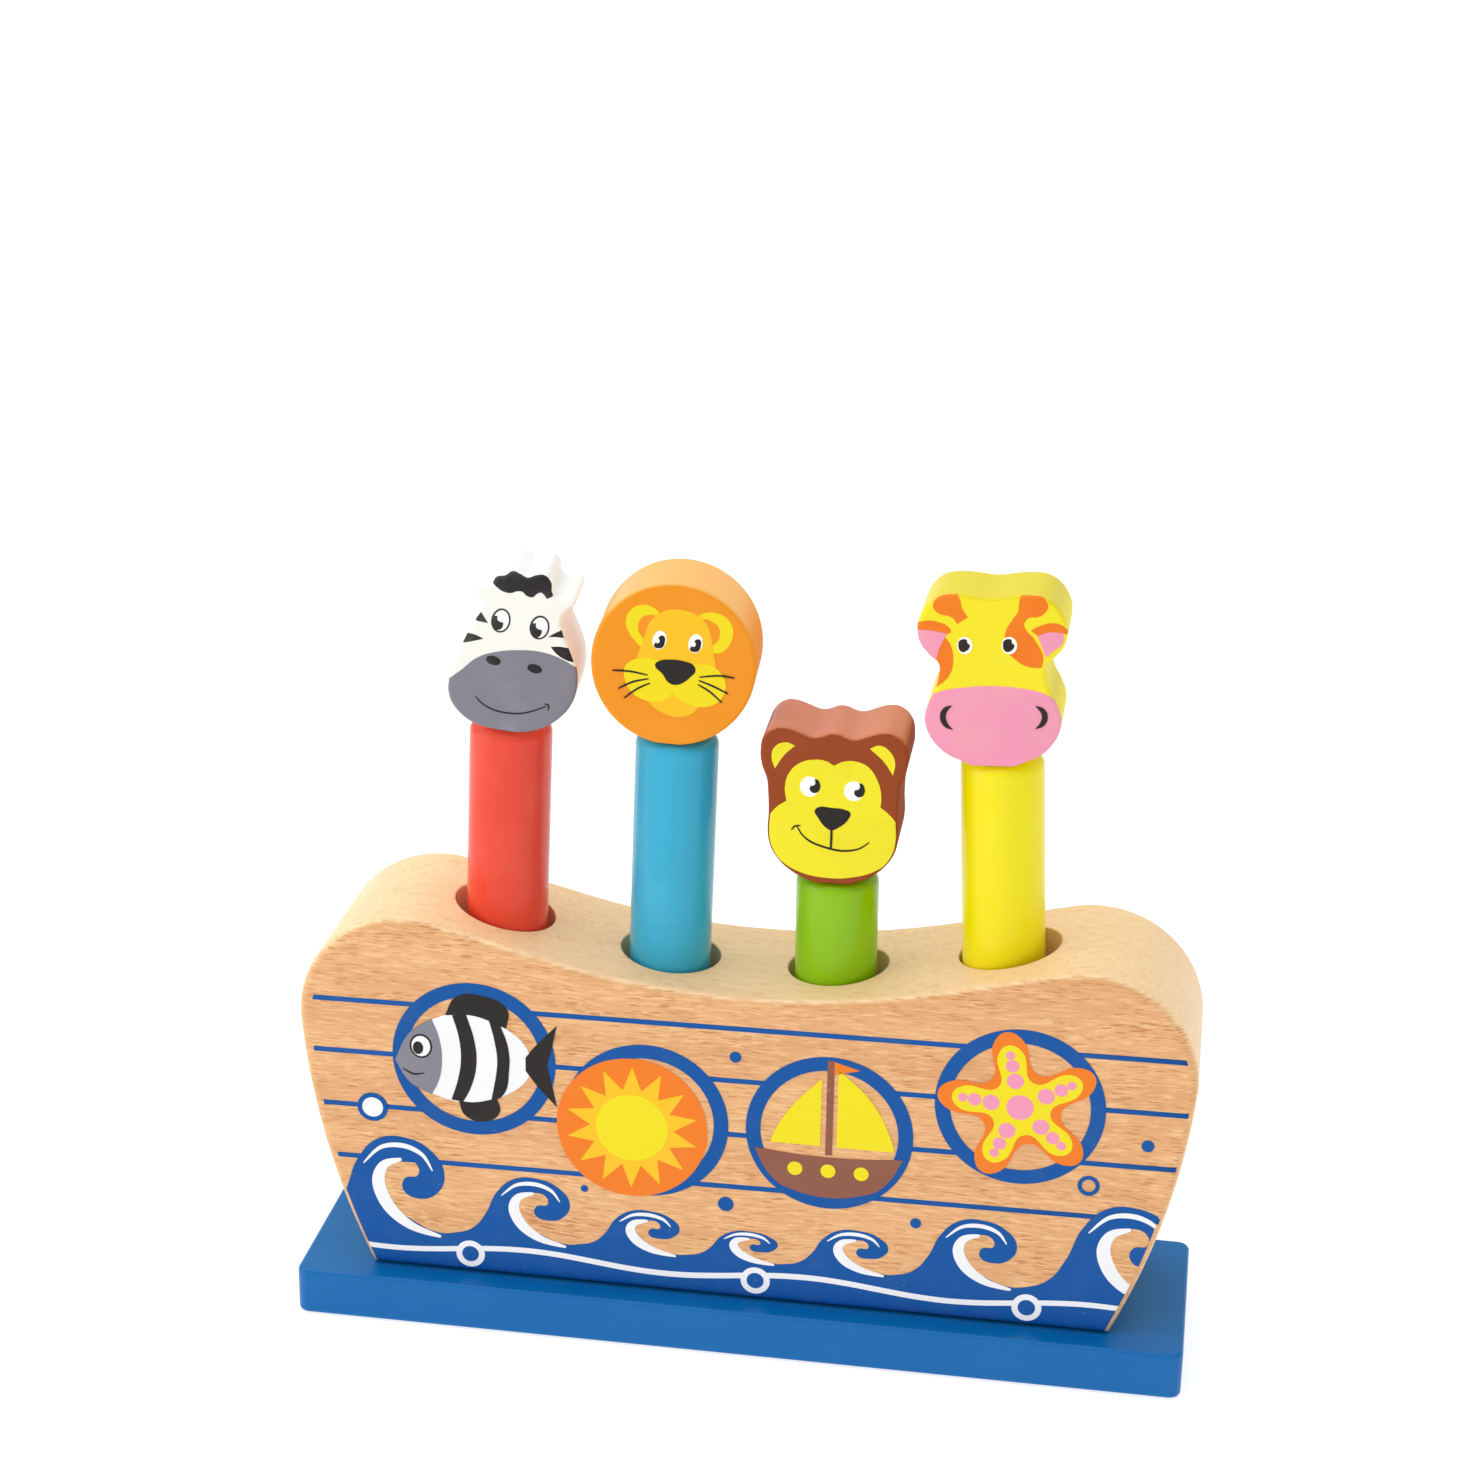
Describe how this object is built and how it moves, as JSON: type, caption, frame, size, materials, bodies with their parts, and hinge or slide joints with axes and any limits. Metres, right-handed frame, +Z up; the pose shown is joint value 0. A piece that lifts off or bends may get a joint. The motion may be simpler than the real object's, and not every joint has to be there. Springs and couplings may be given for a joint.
{
  "type": "pop-up peg toy",
  "caption": "Wooden ark-shaped block on a base board, with sprung round pegs that carry flat animal heads and pop up when pressed.",
  "frame": {"origin": "middle of the base board's underside", "axes": "+X along the board to the viewer's right, +Y from the front to the back, +Z up along the pegs"},
  "size_m": [0.218, 0.056, 0.1933],
  "materials": {
    "beech": "sanded and oiled",
    "blue_board": "semi-gloss paint",
    "zebra_shaft": "semi-gloss paint",
    "lion_shaft": "semi-gloss paint",
    "monkey_shaft": "semi-gloss paint",
    "giraffe_shaft": "semi-gloss paint",
    "zebra_head": "satin paint",
    "lion_head": "satin paint",
    "monkey_head": "satin paint",
    "giraffe_head": "satin paint",
    "spring_steel": "drawn wire",
    "zinc_plate": "zinc plated"
  },
  "bodies": {
    "ark": {"base_board": "blue_board", "ark_hull": "beech", "base_screw_1": "zinc_plate", "base_screw_2": "zinc_plate", "base_screw_3": "zinc_plate", "zebra_spring_washer": "zinc_plate", "lion_spring_washer": "zinc_plate", "monkey_spring_washer": "zinc_plate", "giraffe_spring_washer": "zinc_plate", "zebra_spring_screw": "zinc_plate", "lion_spring_screw": "zinc_plate", "monkey_spring_screw": "zinc_plate", "giraffe_spring_screw": "zinc_plate"},
    "zebra_spring_top": {"zebra_spring": "spring_steel"},
    "lion_spring_top": {"lion_spring": "spring_steel"},
    "monkey_spring_top": {"monkey_spring": "spring_steel"},
    "giraffe_spring_top": {"giraffe_spring": "spring_steel"},
    "zebra_peg": {"zebra_peg_shaft": "zebra_shaft", "zebra_head": "zebra_head", "zebra_dowel": "beech"},
    "lion_peg": {"lion_peg_shaft": "lion_shaft", "lion_head": "lion_head", "lion_dowel": "beech"},
    "monkey_peg": {"monkey_peg_shaft": "monkey_shaft", "monkey_head": "monkey_head", "monkey_dowel": "beech"},
    "giraffe_peg": {"giraffe_peg_shaft": "giraffe_shaft", "giraffe_head": "giraffe_head", "giraffe_dowel": "beech"}
  },
  "joints": [
    {"name": "zebra_press", "type": "slide", "parent": "ark", "child": "zebra_spring_top", "axis": [0.0271, 0, 0.9996], "range_m": [-0.032, 0], "stiffness_N_per_m": 150, "springref_m": 0.004, "deforming": ["zebra_spring"]},
    {"name": "lion_press", "type": "slide", "parent": "ark", "child": "lion_spring_top", "axis": [0.023, -0.0049, 0.9997], "range_m": [-0.032, 0], "stiffness_N_per_m": 150, "springref_m": 0.004, "deforming": ["lion_spring"]},
    {"name": "monkey_press", "type": "slide", "parent": "ark", "child": "monkey_spring_top", "axis": [-0.0087, 0, 1], "range_m": [0, 0.032], "stiffness_N_per_m": 150, "springref_m": 0.036, "deforming": ["monkey_spring"]},
    {"name": "giraffe_press", "type": "slide", "parent": "ark", "child": "giraffe_spring_top", "axis": [-0.0468, -0.0156, 0.9988], "range_m": [-0.032, 0], "stiffness_N_per_m": 150, "springref_m": 0.004, "deforming": ["giraffe_spring"]},
    {"name": "zebra_lift", "type": "slide", "parent": "zebra_spring_top", "child": "zebra_peg", "axis": [0.0271, 0, 0.9996], "range_m": [0, 0.034]},
    {"name": "lion_lift", "type": "slide", "parent": "lion_spring_top", "child": "lion_peg", "axis": [0.023, -0.0049, 0.9997], "range_m": [0, 0.034]},
    {"name": "monkey_lift", "type": "slide", "parent": "monkey_spring_top", "child": "monkey_peg", "axis": [-0.0087, 0, 1], "range_m": [0, 0.034]},
    {"name": "giraffe_lift", "type": "slide", "parent": "giraffe_spring_top", "child": "giraffe_peg", "axis": [0, 0, 1], "range_m": [0, 0.034]}
  ]
}
